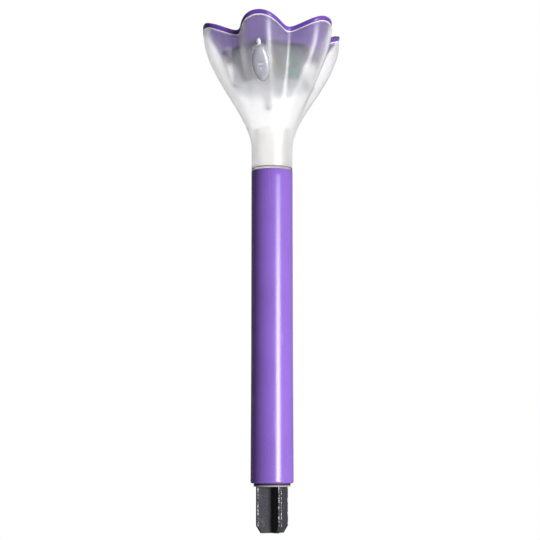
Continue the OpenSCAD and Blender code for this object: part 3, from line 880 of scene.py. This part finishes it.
class TULIP_OT_push_button(bpy.types.Operator):
    """The oval push button with its raised marks, and the indicator above it"""
    bl_idname = "tulip.push_button"
    bl_label = "Push button"

    FACE_ROWS = 10
    INDICATOR_ROWS = 8
    FLANGE = 0.8 * MM
    FLANGE_THICKNESS = 0.6 * MM
    STEM_WIDTH = 3 * MM

    def face(self, width, low, high, rows):
        """Levels of a domed face: how far the oval is set in, and its height."""
        levels = []
        for i in range(rows + 1):
            a = math.pi / 2 * i / rows
            levels.append((width * 0.475 * (1 - math.cos(a)), low + (high - low) * math.sin(a)))
        return levels

    def execute(self, context):
        petals, sizes = form(), context.scene.tulip_button
        tint = context.scene.tulip_colours.button[:]
        finish = frosted_button("Frosted button", tint)
        pale = frosted_button("Button marks", shade(tint, 1.6))
        wide, long, proud = sizes.width, sizes.length, sizes.proud
        place = petals.on_crest(petals.button_z)
        depth = petals.sizes.wall + 1.3 * MM
        levels = [(-self.FLANGE, -depth - self.FLANGE_THICKNESS), (-self.FLANGE, -depth),
                  (0, -depth), (0, -1.1 * MM)]
        levels += self.face(wide, -0.95 * MM, proud, self.FACE_ROWS)

        body = stacked("push_button_body", outline_of(wide, long), levels, finish, place, 30)
        stem = stacked("stem", lambda level: oval(self.STEM_WIDTH, self.STEM_WIDTH, 32),
                       [(-5.2 * MM,), (-depth - 0.5 * MM,)], finish, place)
        bar = stacked("bar", lambda level: oval(2.8 * MM - level[0], 0.6 * MM - level[0], 24),
                      [(0, proud - 0.1 * MM), (0, proud + 0.08 * MM), (0.2 * MM, proud + 0.18 * MM)],
                      pale, place)
        dot_place = place @ Matrix.Translation((0, -2.1 * MM, 0))
        dot = stacked("dot", lambda level: oval(0.9 * MM - level[0], 0.9 * MM - level[0], 24),
                      [(0, proud - 0.2 * MM), (0, proud + 0.02 * MM), (0.4 * MM, proud + 0.14 * MM)],
                      pale, dot_place)
        button = joined("push_button_body", [body, stem, bar, dot])
        attach(button, "button", ["push_button"])

        wide, long = sizes.indicator_width, sizes.indicator_length
        levels = [(0, -petals.sizes.wall - 0.2 * MM), (0, 0.05 * MM)]
        levels += self.face(wide, 0.1 * MM, 0.6 * MM, self.INDICATOR_ROWS)
        lens = stacked("indicator_dome", outline_of(wide, long), levels, pale,
                       petals.on_crest(petals.indicator_z(sizes)), 30)
        attach(lens, "head", ["indicator_lens"])
        return {"FINISHED"}


def outline_of(wide, long):
    """Ovals set in by each level's first value."""
    return lambda level: oval(wide - 2 * level[0], long - 2 * level[0])


class TULIP_OT_handle_tube(bpy.types.Operator):
    """The purple tube: rounded belled foot and a saw-cut top edge"""
    bl_idname = "tulip.handle_tube"
    bl_label = "Handle tube"

    AROUND = 192
    BURR = 0.16 * MM

    def outline(self, sizes, angle):
        low, high = (end.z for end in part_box("handle_tube"))
        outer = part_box("handle_tube")[1].x - sizes.bell
        bore = outer - sizes.tube_wall
        foot = outer + sizes.bell
        rag = noise.noise(polar(40, angle, 3)) * 0.5 + 0.5 * noise.noise(polar(9, angle, 7))
        top = high - self.BURR * (0.5 + 0.9 * max(-0.5, min(0.5, rag)))
        r = sizes.foot_round
        points = [(bore + 0.1 * MM, low), (foot - r, low)]
        points += [(x, z) for x, z in corner(foot - r, low + r, r, -90)[1:]]
        points += [(outer + sizes.bell * (1 - i / 4), low + r + (sizes.bell_length - r) * i / 4)
                   for i in range(1, 5)]
        points += [(outer, top - 4 * MM), (outer, top - 0.25 * MM), (outer - 0.08 * MM, top - 0.05 * MM),
                   (outer - 0.2 * MM, top), (bore + 0.15 * MM, top), (bore, top - 0.2 * MM),
                   (bore, low + 0.1 * MM)]
        return points

    def execute(self, context):
        sizes = context.scene.tulip_stake
        finish = extruded_plastic(context.scene.tulip_colours.tube[:])
        tube = swept("handle_tube_skin", lambda a: self.outline(sizes, a), self.AROUND, finish)
        attach(tube, "handle", ["handle_tube"])
        coat("neck_bush", ivory_plastic())
        return {"FINISHED"}


class TULIP_OT_ground_stake(bpy.types.Operator):
    """The black cross-ribbed stake: plug, collar and pointed blade"""
    bl_idname = "tulip.ground_stake"
    bl_label = "Ground stake"

    ROUND = 0.22 * MM
    WEB = 0.7 * MM
    TIP = 1.2 * MM
    COLLAR_EDGE = 0.2 * MM

    def cross(self, reach, half):
        """A cross with rounded rib ends and filleted inner corners."""
        points = []
        web, r = min(self.WEB, (reach - half) * 0.4), min(self.ROUND, half * 0.6)
        for quarter in range(4):
            turn = Matrix.Rotation(math.pi / 2 * quarter, 2)
            arc = [(reach - r + r * math.cos(a), -half + r + r * math.sin(a))
                   for a in (math.radians(d) for d in (-90, -60, -30, 0))]
            arc += [(reach - r + r * math.cos(a), half - r + r * math.sin(a))
                    for a in (math.radians(d) for d in (0, 30, 60, 90))]
            arc += [(half + web - web * math.sin(a), half + web - web * math.cos(a))
                    for a in (math.radians(d) for d in (0, 30, 60, 90))]
            points += [tuple(turn @ Vector(p)) for p in arc]
        return points

    def execute(self, context):
        sizes = context.scene.tulip_stake
        low, high = (end.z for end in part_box("ground_stake"))
        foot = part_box("handle_tube")[0].z
        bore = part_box("handle_tube")[1].x - sizes.bell - sizes.tube_wall
        plug, blade, half = bore - sizes.plug_gap, bore - sizes.blade_gap, sizes.rib / 2
        finish = moulded_black(
            context.scene.tulip_colours.stake[:], sizes.turn, plug, half, foot - sizes.collar)
        wide, tall = sizes.chamfer_width, sizes.chamfer_height
        levels = [(plug - wide - 0.2 * MM, low), (plug - wide + 0.05 * MM, low + 0.12 * MM),
                  (plug - wide * 0.5, low + tall * 0.52), (plug - 0.12 * MM, low + tall - 0.2 * MM),
                  (plug, low + tall + 0.3 * MM), (plug, foot - 2 * MM), (plug, foot - 0.05 * MM),
                  (blade, foot), (blade, high - sizes.point)]
        levels += [(self.TIP + (blade - self.TIP) * (1 - t), high - sizes.point * (1 - t))
                   for t in (0.25, 0.5, 0.75, 0.97, 1.0)]
        place = Matrix.Rotation(sizes.turn, 4, "Z")
        ribs = stacked("stake_ribs", lambda level: self.cross(level[0], half), levels, finish, place, 40)
        collar_low, edge = foot - sizes.collar, self.COLLAR_EDGE
        collar_r = bore + sizes.collar_lap
        profile = [(collar_r - edge, collar_low), (collar_r - 0.06 * MM, collar_low + 0.06 * MM),
                   (collar_r, collar_low + edge), (collar_r, foot - edge), (collar_r - edge, foot)]
        collar = swept("collar", lambda a: profile, 128, finish, False)
        stake = joined("stake_moulding", [ribs, collar])
        attach(stake, "stake", ["ground_stake"])
        return {"FINISHED"}


class TULIP_OT_solar_panel(bpy.types.Operator):
    """Panel board, cells with silver busbars, and clear resin"""
    bl_idname = "tulip.solar_panel"
    bl_label = "Solar panel"

    BUSBARS = 3
    BUSBAR_HALF_WIDTH = 0.35 * MM
    BUSBAR_LIFT = 0.01 * MM
    BUSBAR_THICKNESS = 0.06 * MM

    def execute(self, context):
        colours = context.scene.tulip_colours
        coat("panel_board", plain_plastic("Panel board", (0.02, 0.025, 0.035), 0.5))
        coat("cell_strips", solar_silicon(colours.cell[:]))
        coat("panel_resin", clear_resin())
        low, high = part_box("cell_strips")
        silver = plated_steel("Silver busbar", (0.80, 0.80, 0.82))
        bars = []
        for i in range(self.BUSBARS):
            x = low.x + (high.x - low.x) * (i + 0.5) / self.BUSBARS
            place = Matrix.Translation((x, (low.y + high.y) / 2, high.z + self.BUSBAR_LIFT))
            half, long = self.BUSBAR_HALF_WIDTH, (high.y - low.y) / 2
            bars.append(stacked(
                "busbar", lambda level: [(half, -long), (half, long), (-half, long), (-half, -long)],
                [(0.0,), (self.BUSBAR_THICKNESS,)], silver, place))
        busbars = joined("cell_busbars", bars)
        attach(busbars, "cap")
        return {"FINISHED"}


class TULIP_OT_battery_unit(bpy.types.Operator):
    """Housing, gasket, screws, battery, contacts, boards and wires under the cap"""
    bl_idname = "tulip.battery_unit"
    bl_label = "Battery unit"

    def execute(self, context):
        colours = context.scene.tulip_colours
        steel = plated_steel("Nickel plate", (0.62, 0.61, 0.58))
        board = solder_mask(colours.board[:])
        black = plain_plastic("Black moulding", (0.02, 0.02, 0.022), 0.4)
        red = plain_plastic("Red insulation", (0.42, 0.02, 0.015), 0.4)
        finishes = {
            "battery_housing": frosted_housing(),
            "housing_gasket": plain_plastic("Gasket rubber", (0.03, 0.03, 0.033), 0.7),
            "housing_screws": steel,
            "circuit_board": board,
            "switch_board": board,
            "driver_chip": black,
            "switch_body": black,
            "switch_plunger": black,
            "coil_inductor": plain_plastic("Coil lacquer", (0.16, 0.20, 0.23), 0.35),
            "battery_can": steel,
            "battery_sleeve": plain_plastic("Shrink sleeve", (0.62, 0.63, 0.67), 0.3),
            "spring_contact": steel,
            "plate_contact": steel,
            "led_leads": steel,
            "panel_wire_red": red,
            "panel_wire_black": black,
            "battery_wires": red,
            "switch_wires": plain_plastic("Yellow insulation", (0.58, 0.50, 0.22), 0.4),
        }
        for node, finish in finishes.items():
            coat(node, finish)
        for node in ("circuit_board", "switch_board", "driver_chip", "switch_body"):
            bevelled(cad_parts[node], 0.08 * MM, 2)
        return {"FINISHED"}


class TULIP_OT_light_source(bpy.types.Operator):
    """The LED: clear lens over its reflector cup and die"""
    bl_idname = "tulip.light_source"
    bl_label = "LED"

    CUP_DEPTH = 3.2 * MM
    DIE_WIDTH = 1.0 * MM
    DIE_THICKNESS = 0.15 * MM

    def execute(self, context):
        coat("led_lens", clear_lens())
        low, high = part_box("led_lens")
        middle = (low + high) / 2
        place = Matrix.Translation((middle.x, middle.y, low.z + self.CUP_DEPTH))
        steel = plated_steel("Lead frame", (0.70, 0.70, 0.72))
        cup = stacked("led_cup", lambda level: oval(level[0], level[0], 32),
                      [(1.7 * MM, 0.0), (1.6 * MM, 0.1 * MM), (0.9 * MM, 0.9 * MM), (0.8 * MM, 3.6 * MM)],
                      steel, place)
        phosphor = plain_plastic("Phosphor", (0.75, 0.62, 0.10), 0.5)
        die = stacked("led_die", lambda level: oval(self.DIE_WIDTH, self.DIE_WIDTH, 16),
                      [(-self.DIE_THICKNESS,), (0.0,)], phosphor, place)
        for piece in (cup, die):
            attach(piece, "cap")
        return {"FINISHED"}


class TULIP_PT_panel(bpy.types.Panel):
    """Sizes, colours and the steps that build the light"""
    bl_label = "Tulip light"
    bl_idname = "TULIP_PT_panel"
    bl_space_type = "VIEW_3D"
    bl_region_type = "UI"
    bl_category = "Tulip"

    def draw(self, context):
        for group in GROUPS:
            settings = getattr(context.scene, group)
            box = self.layout.box()
            box.label(text=group.replace("tulip_", "").capitalize())
            for name in settings.__annotations__:
                box.prop(settings, name)
        for operator in OPERATORS:
            self.layout.operator(operator.bl_idname)


GROUPS = {
    "tulip_petals": TULIP_PG_petals,
    "tulip_button": TULIP_PG_button,
    "tulip_stake": TULIP_PG_stake,
    "tulip_colours": TULIP_PG_colours,
    "tulip_stage": TULIP_PG_stage,
}
OPERATORS = (
    TULIP_OT_stage, TULIP_OT_petal_shell, TULIP_OT_petal_cap, TULIP_OT_push_button, TULIP_OT_handle_tube,
    TULIP_OT_ground_stake, TULIP_OT_solar_panel, TULIP_OT_battery_unit, TULIP_OT_light_source,
)
CLASSES = (*GROUPS.values(), *OPERATORS, TULIP_PT_panel)


def register():
    for cls in CLASSES:
        bpy.utils.register_class(cls)
    for name, group in GROUPS.items():
        setattr(bpy.types.Scene, name, PointerProperty(type=group))


def unregister():
    for name in GROUPS:
        delattr(bpy.types.Scene, name)
    for cls in reversed(CLASSES):
        bpy.utils.unregister_class(cls)


def main():
    register()
    for operator in OPERATORS:
        family, name = operator.bl_idname.split(".")
        getattr(getattr(bpy.ops, family), name)()


if __name__ == "__main__":
    main()
